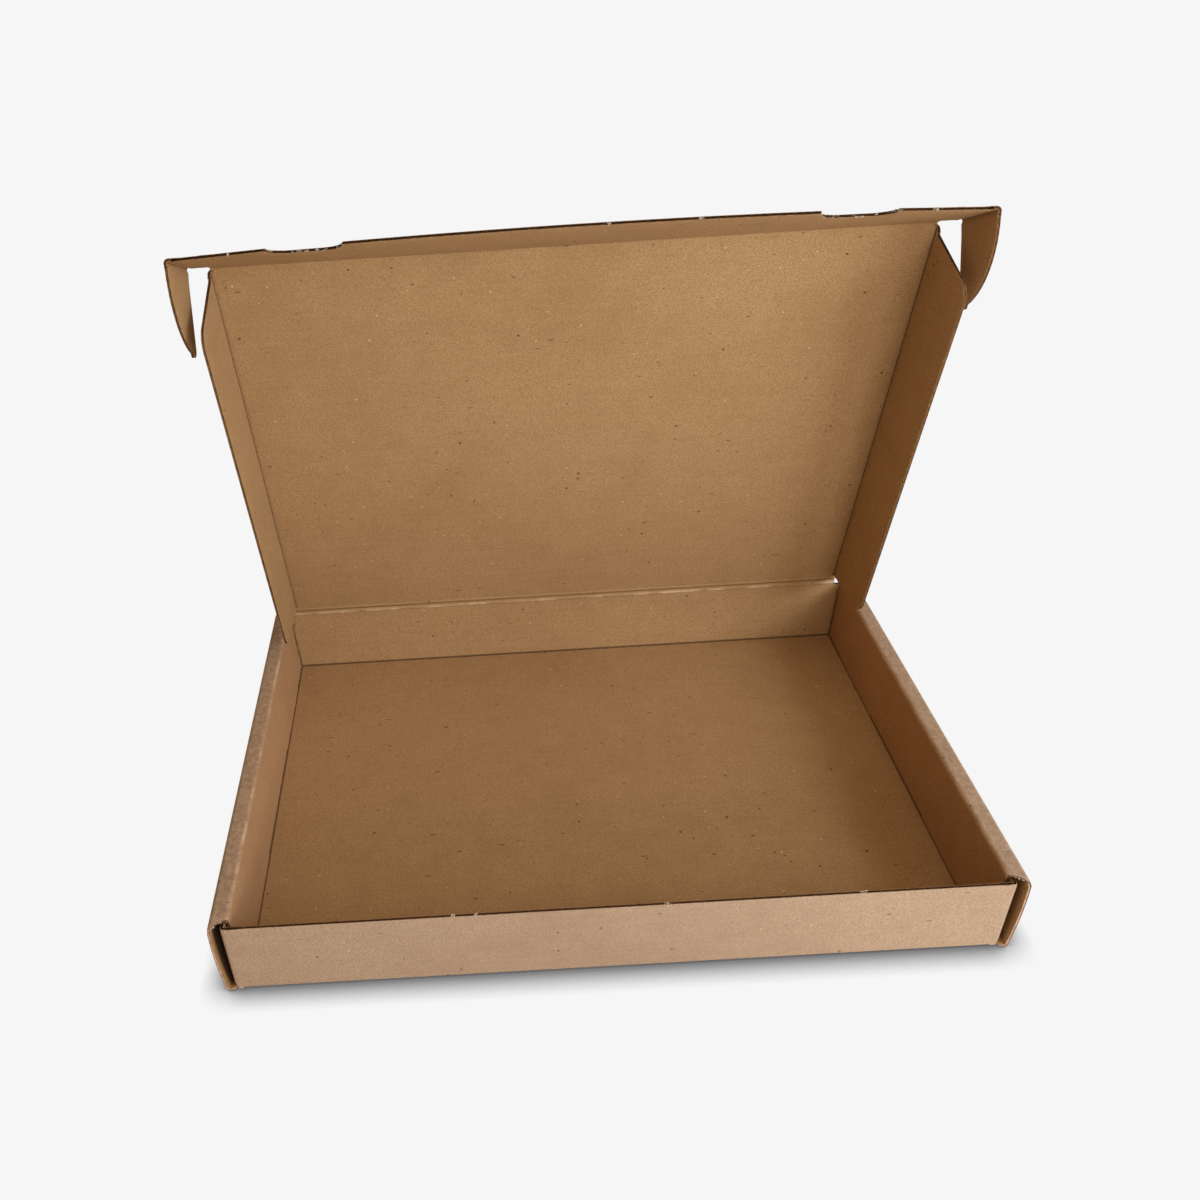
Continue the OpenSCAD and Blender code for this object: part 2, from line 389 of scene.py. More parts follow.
# %% [markdown]
# A die crushes the board where it cuts, so a cut edge has two pale paper lines, the liners,
# with darker fluted paper between them. The fluting is rougher, recycled paper. The fuzz
# at a nick, where the blank was torn from its sheet, is nearly white. Where the die has
# pressed the edge shut, only pale liner shows.

# %% Edge papers


def edge_paper(name, pale, deep, scale):
    material, tree = new_material(name)
    coords = Wire.node(tree, "ShaderNodeTexCoord", out="Object")
    tone = noise(tree, coords, scale, 3.0, 0.6)
    ragged = noise(tree, coords, scale * 4, 2.0)
    colour = mix_colour(tree, ((tone - 0.5) * 1.6 + 0.5).clamp(), deep, pale)
    paper_surface(tree, colour, 0.92, 0.12, (0.6, 0.0002, ragged))
    return material


cut_liner = edge_paper("cut_liner_edge", linear(176, 136, 96), linear(92, 60, 36), 420.0)
flute_paper = edge_paper("fluting_paper", linear(98, 66, 42), linear(52, 31, 18), 350.0)
torn_paper = edge_paper("torn_fibre", linear(246, 238, 226), linear(206, 182, 150), 900.0)
pressed_liner = edge_paper("pressed_edge", linear(228, 200, 180), linear(168, 132, 110), 420.0)
PAPERS = [inner_liner, outer_liner, cut_liner, flute_paper, pressed_liner]
INNER, OUTER, CUT, FLUTES, PALE = range(len(PAPERS))
print("papers:", [m.name for m in PAPERS])

# %% [markdown]
# Every panel starts as a flat outline. The fold is a rule that says where a point of the
# flat board ends up: a is the way across the flutes, b the way along them, and h the height
# above the middle of the board, towards the inner liner. The outline is filled with
# triangles on a grid, once for each liner, and a groove is let in all round between the
# two liners, which is where the fluting shows. The cutting die presses the liners
# together along its cut, but not where the board runs on over a crease.

# %% Points on the flat board
CRUSH_WIDE = 1.3
GRID_CLEAR = 0.08


def resample(points, stations_a, stations_b, longest):
    """The outline with extra points where it crosses the grid, at most longest apart."""
    out = []
    for i, p in enumerate(points):
        p = np.array(p, float)
        q = np.array(points[(i + 1) % len(points)], float)
        d = q - p
        cuts = {0.0}
        for k, stations in ((0, stations_a), (1, stations_b)):
            if abs(d[k]) > 1e-9:
                for s in stations:
                    t = (s - p[k]) / d[k]
                    if 1e-4 < t < 1 - 1e-4:
                        cuts.add(t)
        parts = max(1, int(np.ceil(np.hypot(*d) / longest)))
        for j in range(1, parts):
            cuts.add(j / parts)
        last = None
        for t in sorted(cuts):
            if last is None or (t - last) * np.hypot(*d) > 0.02:
                out.append(p + t * d)
                last = t
    return np.array(out)


def inside(points, loop):
    """Which points are inside a closed outline."""
    x, y = points.T
    hit = np.zeros(len(points), bool)
    for (x0, y0), (x1, y1) in zip(loop, np.roll(loop, -1, axis=0)):
        if y0 == y1:
            continue
        cross = (y0 > y) != (y1 > y)
        hit ^= cross & (x < (x1 - x0) * (y - y0) / (y1 - y0) + x0)
    return hit


def on_board(points, loops):
    """Which points are inside the first outline and in none of the holes."""
    good = inside(points, loops[0])
    for hole in loops[1:]:
        good &= ~inside(points, hole)
    return good


def nearest(spot, points):
    """How far a point is from the nearest of the others."""
    return np.min(np.hypot(*(points - spot).T))


def pulled_in(loop, depth, keep_inside):
    """The outline moved into the board, with its corners mitred."""
    back = loop - np.roll(loop, 1, axis=0)
    on = np.roll(loop, -1, axis=0) - loop
    unit_back = back / np.linalg.norm(back, axis=1)[:, None]
    unit_on = on / np.linalg.norm(on, axis=1)[:, None]
    normal_back = np.stack([-unit_back[:, 1], unit_back[:, 0]], 1)
    normal_on = np.stack([-unit_on[:, 1], unit_on[:, 0]], 1)
    normal = normal_back + normal_on
    normal /= np.maximum(np.linalg.norm(normal, axis=1), 1e-6)[:, None]
    stretch = np.clip(1 / np.maximum((normal * normal_on).sum(1), 0.5), 1, 1.6)
    x, y = loop.T
    area = 0.5 * np.sum(x * np.roll(y, -1) - np.roll(x, -1) * y)
    sense = 1 if (area > 0) == keep_inside else -1
    return loop + (sense * depth * stretch)[:, None] * normal


def grid_points(loops, stations_a, stations_b):
    """Grid points well inside the board."""
    aa, bb = np.meshgrid(stations_a, stations_b)
    grid = np.stack([aa.ravel(), bb.ravel()], 1)
    grid = grid[on_board(grid, loops)]
    edge = np.concatenate(loops)
    return grid[np.array([nearest(spot, edge) > GRID_CLEAR for spot in grid], bool)]


def fold_links(points, loops, stations, axis):
    """Links along the lines where the board folds, so that no triangle crosses one."""
    links = []
    for s in stations:
        on = np.where(np.abs(points[:, axis] - s) < 1e-6)[0]
        order = on[np.argsort(points[on, 1 - axis])]
        middles = (points[order[:-1]] + points[order[1:]]) / 2
        good = on_board(middles, loops)
        links += [(int(i), int(j)) for i, j, g in zip(order, order[1:], good) if g]
    return links


def inset_ring(loops, cuts):
    """Points just inside the cut edges, where the board has its full thickness."""
    ring = []
    edge = np.concatenate(loops)
    for k, (loop, cut) in enumerate(zip(loops, cuts)):
        for spot in pulled_in(loop, CRUSH_WIDE, k == 0)[cut]:
            if nearest(spot, edge) > 0.85 * CRUSH_WIDE:
                ring.append(spot)
    ring = np.array(ring).reshape(-1, 2)
    return ring[on_board(ring, loops)]


print("points on the flat board, clear of its edges by", GRID_CLEAR, "mm")

# %% [markdown]
# The triangles are kept as far as they can be reached from one in the board without
# crossing an outline, so a hole stays open.

# %% Filling an outline
RING_CLEAR = 0.25


def flooded(faces, walls, seed):
    """The faces reached from one face without crossing an outline."""
    sides = [[frozenset(pair) for pair in zip(f, f[1:] + f[:1])] for f in faces]
    beside = {}
    for k, edges in enumerate(sides):
        for edge in edges:
            beside.setdefault(edge, []).append(k)
    reached, waiting = {seed}, [seed]
    while waiting:
        for edge in sides[waiting.pop()]:
            if edge not in walls:
                new = [k for k in beside[edge] if k not in reached]
                reached.update(new)
                waiting += new
    return [faces[k] for k in sorted(reached)]


def fill(loops, cuts, stations_a, stations_b, folds, fold_axis):
    """Points and triangles of the flat board, and the place of each given point among them."""
    edge = np.concatenate(loops)
    grid = grid_points(loops, stations_a, stations_b)
    ring = inset_ring(loops, cuts)
    if len(grid) and len(ring):
        ring = ring[[nearest(spot, grid) > RING_CLEAR for spot in ring]]
    points = np.concatenate([edge, grid, ring])
    rim, start = [], 0
    for loop in loops:
        n = len(loop)
        rim += [(start + i, start + (i + 1) % n) for i in range(n)]
        start += n
    links = fold_links(points, loops, folds, fold_axis) + rim
    flat = [Vector((float(x), float(y))) for x, y in points]
    made, _, faces, source, _, _ = delaunay_2d_cdt(flat, links, [], 0, 1e-5)
    made = np.array([tuple(v) for v in made])
    place = np.full(len(points), -1)
    for i, came in enumerate(source):
        for j in came:
            place[j] = i
    faces = [list(f) for f in faces]
    walls = {frozenset((place[i], place[j])) for i, j in rim}
    p, q, r = [made[[f[k] for f in faces]] for k in range(3)]
    area = np.abs(np.cross(q - p, r - p))
    seed = int(np.argmax(area * on_board((p + q + r) / 3, loops)))
    return made, flooded(faces, walls, seed), place


print("fill ready, points apart by", RING_CLEAR, "mm")

# %% [markdown]
# The two liners and the groove between them are then one closed mesh.

# %% Boards from outlines
GROOVE = 1.45
PRESSED = 0.3
CRUSH = 0.2
LONGEST = 6.0


def mesh_object(name, points, faces, slots, papers, marks):
    """A closed mesh object, its faces turned outwards and its folds smooth."""
    mesh = bpy.data.meshes.new(name)
    mesh.from_pydata([tuple(p) for p in np.asarray(points) * MM], [], faces)
    for paper in papers:
        mesh.materials.append(paper)
    mesh.polygons.foreach_set("material_index", slots)
    mesh.polygons.foreach_set("use_smooth", [True] * len(faces))
    for title, values in marks.items():
        row = mesh.attributes.new(title, "FLOAT", "POINT")
        row.data.foreach_set("value", np.asarray(values, np.float32))
    work = bmesh.new()
    work.from_mesh(mesh)
    bmesh.ops.recalc_face_normals(work, faces=work.faces)
    work.to_mesh(mesh)
    work.free()
    mesh.set_sharp_from_angle(angle=radians(38))
    return add(name, mesh)


def bands(rings, papers):
    """The faces between closed rings of points, and each face's paper."""
    faces, slots = [], []
    for near_ring, far_ring, paper in zip(rings, rings[1:], papers):
        for i in range(len(near_ring)):
            j = (i + 1) % len(near_ring)
            faces.append((near_ring[i], near_ring[j], far_ring[j], far_ring[i]))
            slots.append(paper[i])
    return faces, slots


def whole_numbers(faces):
    return [tuple(int(i) for i in f) for f in faces]


def laid(origin, *terms):
    """Points at the origin plus each amount times its direction."""
    for amount, way in terms:
        origin = origin + np.asarray(amount, float)[..., None] * way
    return origin


def mirrored(points):
    return [(-a, b) for a, b in points]


def no_seam(a, b):
    return np.zeros(len(a), bool)


def open_groove(a, b):
    return np.full(len(a), GROOVE), np.full(len(a), FLUTES)


def pressed_groove(a, b):
    """An edge that the die has pressed almost shut."""
    return np.full(len(a), PRESSED), np.full(len(a), CUT)


def nowhere(a, b):
    return np.zeros(len(a))


def board(
    name, outline, place, grid, seam=no_seam, holes=(), folds=(), fold_axis=0, marking=None,
    groove=open_groove,
):
    """A board of two liners with a groove between them, folded by place(a, b, h).

    groove(a, b) says how deep the groove is and which paper shows in it."""
    stations = [list(grid[0]), list(grid[1])]
    stations[fold_axis] = sorted(stations[fold_axis] + list(folds))
    loops = [resample(loop, *stations, LONGEST) for loop in [outline] + list(holes)]
    cuts = [~seam(*loop.T) for loop in loops]
    flat, triangles, where = fill(loops, cuts, *stations, folds, fold_axis)
    n = len(flat)
    height = np.full(n, HALF)
    height[where[:sum(len(c) for c in cuts)]] -= CRUSH * np.concatenate(cuts)
    points = [place(*flat.T, height), place(*flat.T, -height)]
    faces = list(triangles) + [tuple(n + i for i in reversed(f)) for f in triangles]
    slots = [INNER] * len(triangles) + [OUTER] * len(triangles)
    marks = {}
    for title, (upper, lower) in (marking or {}).items():
        marks[title] = np.concatenate([rule(*flat.T) for rule in (upper, lower)])
    base, count = 2 * n, 0
    for k, (loop, cut) in enumerate(zip(loops, cuts)):
        m = len(loop)
        depth, core = groove(*loop.T)
        deep = pulled_in(loop, depth, k == 0)
        lip = HALF - LINER - CRUSH * cut
        back = np.full(m, HALF - LINER)
        for ring, h in ((loop, lip), (deep, back), (deep, -back), (loop, -lip)):
            points.append(place(*ring.T, h))
        top = where[count:count + m]
        rings = [top] + [base + r * m + np.arange(m) for r in range(4)] + [n + top]
        lips = [CUT] * m
        more, papers = bands(rings, (lips, core, core, core, lips))
        faces += more
        slots += papers
        base += 4 * m
        count += m
    faces = whole_numbers(faces)
    marks = {title: np.concatenate([v, np.zeros(base - 2 * n)]) for title, v in marks.items()}
    return mesh_object(name, np.concatenate(points), faces, slots, PAPERS, marks)


print("board maker ready, groove", GROOVE, "mm deep")

# %% [markdown]
# A fold is a path seen from the end: straight, round a small bend, and straight on.
# The path is measured along its length, so a flat board can be laid on it.

# %% Fold paths
BEND = 1.0
BEND_STEPS = 8


class FoldPath:
    """A bent line. at(s) gives its points and the directions across it."""

    def __init__(self, corners, side, bend=BEND):
        corners = [np.array(c, float) for c in corners]
        length, spots, angles, self.folds = [0.0], [corners[0]], [], []
        heading = [np.arctan2(*(q - p)[::-1]) for p, q in zip(corners, corners[1:])]
        angles.append(heading[0])
        for p, h0, h1 in zip(corners[1:-1], heading, heading[1:]):
            swing = (h1 - h0 + pi) % (2 * pi) - pi
            reach = bend * abs(np.tan(swing / 2))
            start = p - reach * np.array([cos(h0), sin(h0)])
            length.append(length[-1] + np.hypot(*(start - spots[-1])))
            spots.append(start)
            angles.append(h0)
            fold_start = length[-1]
            for k in range(1, BEND_STEPS + 1):
                h = h0 + swing * k / BEND_STEPS
                middle = h0 + swing * (k - 0.5) / BEND_STEPS
                step = 2 * bend * abs(np.sin(swing / BEND_STEPS / 2))
                spots.append(spots[-1] + step * np.array([cos(middle), sin(middle)]))
                length.append(length[-1] + step)
                angles.append(h)
            self.folds.append((fold_start, length[-1]))
        length.append(length[-1] + np.hypot(*(corners[-1] - spots[-1])))
        spots.append(corners[-1])
        angles.append(angles[-1])
        self.length = np.array(length)
        self.spots = np.array(spots)
        self.angles = np.unwrap(np.array(angles))
        self.side = side

    def at(self, s):
        over = np.maximum(np.asarray(s, float) - self.length[-1], 0)
        under = np.minimum(np.asarray(s, float), 0)
        angle = np.interp(s, self.length, self.angles)
        x = np.interp(s, self.length, self.spots[:, 0]) + (over + under) * np.cos(angle)
        y = np.interp(s, self.length, self.spots[:, 1]) + (over + under) * np.sin(angle)
        return x, y, -self.side * np.sin(angle), self.side * np.cos(angle)

    def stations(self):
        """Places along the path where the board needs lines of points: across each fold."""
        lines = [s for start, end in self.folds for s in np.linspace(start, end, 7)]
        return lines + [s for k in range(len(self.folds)) for s in self.beside(k)]

    def beside(self, k):
        """Lines just before and after one fold."""
        start, end = self.folds[k]
        return [start - 0.9, start - 0.45, end + 0.35, end + 0.7]


def near(value, centre, width):
    return np.exp(-((value - centre) / width) ** 2)


print("fold paths ready, bend", BEND, "mm")

# %% [markdown]
# The floor and the two side walls are one strip across the box. Each side goes up as the
# outer wall, over the top as a narrow strip and down again as the inner wall, so what shows
# inside is the outer liner. The inner wall ends in two tabs that lock into slots in the floor.

# %% Tray: floor and rolled side walls
INNER_FOOT = 156.6
INNER_LEAN = 1.6
INNER_TALL = 37.0
WALL_PATH = FoldPath(
    [
        (-INNER_FOOT, 1.9), (-158.2, 39.2), (-164.9, 39.2), (-163.7, HALF),
        (163.7, HALF), (164.9, 39.2), (158.2, 39.2), (INNER_FOOT, 1.9),
    ],
    1,
)
FOOT = WALL_PATH.length[-1] / 2
BELLY = 0.8
WALL_END = 109.0
SEAM_X = 157.0
SEAM_Y = 104.0
FLOOR_FRONT = -107.5
POCKET_X = 158.0
POCKET_CORNER = [(160.4, FLOOR_FRONT), (160.9, -108.6)]
ACROSS = list(np.linspace(-150, 150, 25))
TABS = [(-88.0, -36.0), (36.0, 88.0)]
SLOT_X = (155.8, 157.7)
SLOT_GAP = 0.3


def on_walls(a, b, h):
    x, z, nx, nz = WALL_PATH.at(np.asarray(a) + FOOT)
    return np.stack([x + h * nx + belly(a), np.asarray(b, float) + 0 * x, z + h * nz], -1)


fold_1, fold_2, fold_3 = [sum(f) / 2 - FOOT for f in WALL_PATH.folds[3:]]
WALL_LINES = [side * a for side in (-1, 1) for a in np.linspace(fold_1, fold_2, 7)[1:-1]]


def belly(a):
    """How far the outer walls bulge outwards."""
    rise = (np.abs(a) - fold_1) / (fold_2 - fold_1)
    return np.sign(a) * BELLY * np.clip(4 * rise * (1 - rise), 0, 1)


WALL_FRONT = [
    (fold_1, -WALL_END), (fold_2 - 1.2, -WALL_END), (fold_2 + 0.6, -107.4), (fold_2 + 2.6, -105.4),
    (fold_3 - 0.2, -103.9), (FOOT, -103.9),
]
WALL_REAR = [
    (FOOT, 106.6), (fold_3 + 1.0, 106.6), (fold_3 - 1.0, 107.1), (fold_2, 107.1),
    (fold_2, WALL_END), (fold_1, WALL_END),
]


def wall_outline():
    """Right half from the middle of the front to the middle of the rear, then the left half."""
    half = [(SEAM_X, -SEAM_Y), (SEAM_X, FLOOR_FRONT)] + POCKET_CORNER + WALL_FRONT
    for start, end in TABS:
        half += [(FOOT, start), (FOOT + BOARD, start), (FOOT + BOARD, end), (FOOT, end)]
    half += WALL_REAR + [(fold_1, REAR_Y), (SEAM_X, REAR_Y), (SEAM_X, SEAM_Y)]
    return half + mirrored(half)[::-1]


def slot_in_floor(side, start, end):
    low, high = start - SLOT_GAP, end + SLOT_GAP
    near_x, far_x = [side * x for x in SLOT_X]
    return [(near_x, low), (far_x, low), (far_x, high), (near_x, high)]


FOOT_X = [154.9, 155.3, 156.4]
FOOT_LINE = [-x for x in reversed(FOOT_X)] + FOOT_X
POCKET_DEEP = [0, 1.8, 3.8]
POCKET_LINES = [side * (WALL_END - d) for side in (-1, 1) for d in POCKET_DEEP[1:]]


def foot_shade(a, b):
    """Painted shade along the line where the inner wall stands on the floor."""
    return np.interp(np.abs(a), FOOT_X + [SEAM_X], [0, 0.7, 0.7, 0])


def in_pocket(a):
    return np.clip(np.abs(a) - POCKET_X, 0, 1)


def tray_shade(a, b):
    """Painted shade: the foot line, and the shade that deepens inside the pockets from their open ends.
    """
    dark = np.interp(WALL_END - np.abs(b), POCKET_DEEP, [0.1, 0.45, 1.0]) * np.where(a < 0, 1.0, 0.5)
    return foot_shade(a, b) + dark * in_pocket(a)


# Painted shade: a warm tint inside the pockets.
def pocket_painted_shade_tint(a, b):
    return 0.55 * in_pocket(a)


def wall_groove(a, b):
    """The rolled walls' ends are pressed shut."""
    shut = np.abs(a) > POCKET_X + 1
    return np.where(shut, PRESSED, GROOVE), np.where(shut, PALE, FLUTES)


# Painted shade: a warm tint on the rolled inner walls, for the light bounced about inside the box.
def inner_walls_painted_shade_tint(a, b):
    return np.clip((np.abs(a) - fold_3 + 0.8) / 1.6, 0, 1)


def rubbed_fold(a, b):
    """The rolled edge is rubbed pale, more on the left."""
    return near(np.abs(a), fold_3, 0.3) * np.where(a < 0, 0.7, 0.4)


def scuffed_strip(a, b):
    """The top strips are rubbed blotchy by the boxes stacked on them, more on the left."""
    strip = np.interp(np.abs(a), [fold_2 - 4, fold_2 - 1, fold_3 - 0.4, fold_3 + 0.6], [0, 1, 1, 0])
    return strip * np.where(a < 0, 1.0, 0.7)


tray = board(
    "tray_floor_and_rolled_walls", wall_outline(), on_walls,
    (sorted(ACROSS + WALL_LINES), sorted(list(np.linspace(-100, 100, 17)) + POCKET_LINES)),
    lambda a, b: np.isclose(np.abs(b), SEAM_Y),
    [slot_in_floor(side, *tab) for side in (-1, 1) for tab in TABS],
    [s - FOOT for s in WALL_PATH.stations()] + FOOT_LINE,
    # Painted shade: the first mark paints shade, the second a warm shade tint; worn and scuffed are
    # wear.
    marking={
        "painted_shade": (tray_shade, nowhere), "inside": (pocket_painted_shade_tint, inner_walls_painted_shade_tint),
        "worn": (nowhere, rubbed_fold), "scuffed": (nowhere, scuffed_strip),
    },
    groove=wall_groove,
)
print("rolled walls:", len(tray.data.polygons), "faces, first fold at", round(fold_1, 1), "mm")

# %% [markdown]
# The front and rear walls fold up from the floor, and a flap at each of their ends turns
# back between the outer and inner side walls. Only the fold and the pocket beside it show.

# %% Tray: front wall, rear wall and corner flaps
REAR_HALF = 3.0
REAR_LEFT = -155.4
REAR_RIGHT = 154.0
CORNER_X = 160.1
CORNER_LONG = 62.0
REAR_CORNER_TOP = 38.1
SHEET_FOOT = 0.45
FRONT_PATH = FoldPath([(-SEAM_Y, HALF), (FRONT_Y, HALF), (FRONT_Y, FRONT_TOP)], -1)
REAR_PATH = FoldPath([(SEAM_Y, HALF), (REAR_Y, HALF), (REAR_Y, HINGE_Z - REAR_HALF)], 1)


def on_path_across(path):
    def place(a, b, h):
        y, z, ny, nz = path.at(b)
        return np.stack([np.asarray(a, float) + 0 * y, y + h * ny, z + h * nz], -1)
    return place


def fold_shade(path):
    """A painted shade line along the fold at the floor."""
    return lambda a, b: np.interp(b, path.beside(0), [0, 0.75, 0.75, 0])


def rear_shade(a, b):
    """Painted shade along the fold, along the foot line up to it, and in the corners beside the inner
    walls.
    """
    start, end = REAR_PATH.folds[0]
    foot = foot_shade(a, b) * (b < start)
    inner_face = INNER_FOOT - HALF + INNER_LEAN * (b - end) / INNER_TALL
    corner = np.interp(np.abs(a) - inner_face, [-0.75, -0.35], [0, 0.75]) * (b > end)
    return np.maximum(fold_shade(REAR_PATH)(a, b), np.maximum(foot, corner))


CORNER_LINES = [side * x for side in (-1, 1) for x in np.arange(154.55, 156.9, 0.35)]
front_end = FRONT_PATH.length[-1]
front_wall = board(
    "tray_front_wall",
    [(-SEAM_X, 0), (SEAM_X, 0), (SEAM_X, front_end), (-SEAM_X, front_end)],
    on_path_across(FRONT_PATH), (ACROSS, np.linspace(8, front_end - 4, 4)),
    lambda a, b: np.isclose(b, 0) | np.isclose(np.abs(a), SEAM_X),
    folds=FRONT_PATH.stations(), fold_axis=1, marking={"painted_shade": (fold_shade(FRONT_PATH), nowhere)},
)
rear_end = REAR_PATH.length[-1]
rear_step = rear_end - 0.3
rear_wall = board(
    "tray_rear_wall",
    [
        (-SEAM_X, 0), (SEAM_X, 0), (SEAM_X, rear_step), (REAR_RIGHT, rear_step),
        (REAR_RIGHT, rear_end), (REAR_LEFT, rear_end), (REAR_LEFT, rear_step), (-SEAM_X, rear_step),
    ],
    on_path_across(REAR_PATH), (sorted(ACROSS + CORNER_LINES), np.linspace(8, rear_end - 4, 8)),
    lambda a, b: np.isclose(b, 0) | np.isclose(b, rear_end) | np.isclose(np.abs(a), SEAM_X),
    folds=REAR_PATH.stations(), fold_axis=1, marking={"painted_shade": (rear_shade, nowhere)},
)


def corner_flap(name, side, y, inward, top):
    """The flap at one end of a wall. It runs 3 mm along the wall before it turns back."""
    path = FoldPath([(SEAM_X, y), (CORNER_X, y), (CORNER_X, y + inward * CORNER_LONG)], inward)

    def place(a, b, h):
        x, yy, nx, ny = path.at(a)
        return np.stack([side * (x + h * nx), yy + h * ny, np.asarray(b, float) + 0 * x], -1)

    turn = path.folds[0][1]
    end = path.length[-1]
    outline = [
        (0, SHEET_FOOT), (turn, SHEET_FOOT), (turn, 1.9), (end - 3, 8.0), (end, 12.0),
        (end, 28.0), (end - 3, 32.0), (turn, 38.0), (turn, top), (0, top),
    ]
    grid = ([20, 40], np.linspace(4, 36, 5))
    return board(name, outline, place, grid, lambda a, b: np.isclose(a, 0), folds=path.stations())


corner_flaps = [
    corner_flap("corner_flap_" + end + "_" + hand, side, y, inward, top)
    for end, y, inward, top in (("front", FRONT_Y, 1, FRONT_TOP), ("rear", REAR_Y, -1, REAR_CORNER_TOP))
    for hand, side in (("left", -1), ("right", 1))
]
print("walls and", len(corner_flaps), "corner flaps")

# %% [markdown]
# The lid is flat, a little bowed as board is after a day in the air. Its flaps are flat too,
# and the front flap bulges out between its ears, because the ears hold its ends.

# %% Lid, side flaps, front flap and ears
FRONT_SEAM = 1.5
SIDE_SEAM = 1.2
EAR_SEAM = 1.6
FLAP_FIRST = 4.0
FLAP_LAST = LID_LONG - BOARD
SIDE_FRONT = 215.9
LID_BOW, BOW_HALF = 0.7, 150
FLAP_BULGE, BULGE_HALF = 3.0, 158


def on_lid(a, b, h):
    along = np.sin(pi * np.clip(b / LID_LONG, 0, 1)) ** 2
    bow = LID_BOW * np.clip(1 - (a / BOW_HALF) ** 2, 0, 1) * along
    return laid(HINGE, (a, EX), (b, LID_ALONG), (h - bow, LID_IN))


def lid_outline():
    edge = LID_HALF - SIDE_SEAM
    sides = []
    for corner in (REAR_RIGHT, -REAR_LEFT):
        sides.append([
            (corner, REAR_HALF), (corner, FLAP_FIRST - 0.4), (LID_HALF, FLAP_FIRST - 0.1),
            (LID_HALF, FLAP_FIRST), (edge, FLAP_FIRST), (edge, FLAP_LAST),
            (LID_HALF, FLAP_LAST), (LID_HALF, LID_LONG - FRONT_SEAM),
        ])
    return sides[0] + mirrored(sides[1])[::-1]


lid = board(
    "lid_board", lid_outline(), on_lid, (np.linspace(-144, 144, 25), np.linspace(10, 210, 18)),
    lambda a, b: np.ones(len(a), bool),
)


def rounded(points, radii, steps=8):
    """The outline with arcs at its corners."""
    out = []
    n = len(points)
    for i, (p, r) in enumerate(zip(points, radii)):
        p = np.array(p, float)
        if r == 0:
            out.append(tuple(p))
            continue
        back = np.array(points[i - 1]) - p
        on = np.array(points[(i + 1) % n]) - p
        back, on = back / np.hypot(*back), on / np.hypot(*on)
        half = np.arccos(np.clip(back @ on, -1, 1)) / 2
        middle = p + (back + on) / np.linalg.norm(back + on) * r / np.sin(half)
        first = p + back * r / np.tan(half) - middle
        last = p + on * r / np.tan(half) - middle
        swing = np.arctan2(first[0] * last[1] - first[1] * last[0], first @ last)
        for t in np.linspace(0, swing, steps + 1):
            turned = (first[0] * cos(t) - first[1] * sin(t), first[0] * sin(t) + first[1] * cos(t))
            out.append((middle[0] + turned[0], middle[1] + turned[1]))
    return out


def on_swung(anchor, along, outward, inward, fold):
    """The rule for a flap that turns about the inner edge of its fold."""
    away = cos(fold) * outward + sin(fold) * inward
    facing = cos(fold) * inward - sin(fold) * outward
    return lambda a, b, h: laid(anchor, (b, along), (a, away), (h - HALF, facing))


SIDES = (("left", -1, radians(90)), ("right", 1, radians(88)))
flap_outline = rounded(
    [
        (SIDE_SEAM, FLAP_FIRST + 0.2), (FLAP_DEEP, 12.0), (FLAP_DEEP, 209.5), (1.8, 214.5),
        (SIDE_SEAM, SIDE_FRONT),
    ],
    [0, 11.0, 8.0, 0, 0],
)
side_place, side_flaps = {}, {}
for hand, side, fold in SIDES:
    anchor = HINGE + side * LID_HALF * EX + HALF * LID_IN
    side_place[hand] = on_swung(anchor, LID_ALONG, side * EX, LID_IN, fold)
    side_flaps[hand] = board(
        "side_flap_" + hand + "_board", flap_outline, side_place[hand],
        (np.linspace(8, 32, 4), np.linspace(20, 200, 16)), lambda a, b: np.isclose(a, SIDE_SEAM),
        groove=pressed_groove,
    )


def on_front_flap(a, b, h):
    reach = np.clip((b - FRONT_SEAM) / (FLAP_MID - FRONT_SEAM), 0, 1.1) ** 1.5
    bulge = FLAP_BULGE * np.clip(1 - (a / BULGE_HALF) ** 2, 0, 1) * reach
    return laid(CREASE, (a, EX), (b, FLAP_ALONG), (h - bulge, FLAP_IN))


NOTCH_IN, NOTCH_OUT, NOTCH_R = 92.1, 122.1, 9.0
EAR_EDGE = EAR_X - EAR_SEAM
END_SLOPE = (FLAP_MID - FLAP_END) / (EAR_X - 0.2 - NOTCH_OUT)


def notch(side):
    """The finger notch, from its outer end to its inner end."""
    floor_b = FLAP_MID - NOTCH_R
    turns = [radians(90) * k / 8 for k in range(9)]
    out = [(NOTCH_OUT - NOTCH_R + NOTCH_R * cos(t), FLAP_MID - NOTCH_R * sin(t)) for t in turns]
    out += [(NOTCH_IN + NOTCH_R - NOTCH_R * sin(t), floor_b + NOTCH_R * (1 - cos(t))) for t in turns]
    return [(side * a, b) for a, b in out]


def front_flap_outline():
    half = [
        (LID_HALF, FRONT_SEAM), (LID_HALF, EAR_STEP), (EAR_EDGE, EAR_STEP),
        (EAR_EDGE, FLAP_MID - (EAR_EDGE - NOTCH_OUT) * END_SLOPE),
    ] + notch(1)
    return half + mirrored(half)[::-1]


front_flap = board(
    "front_flap_board", front_flap_outline(), on_front_flap,
    (np.linspace(-156, 156, 40), np.linspace(4, 34, 7)),
    lambda a, b: np.isclose(b, FRONT_SEAM) | np.isclose(np.abs(a), EAR_EDGE),
)

EAR_R = FLAP_END + EAR_STEP
EAR_TIP = 36.4
EAR_TIP_R = 3.2
EAR_ARC = 34.6


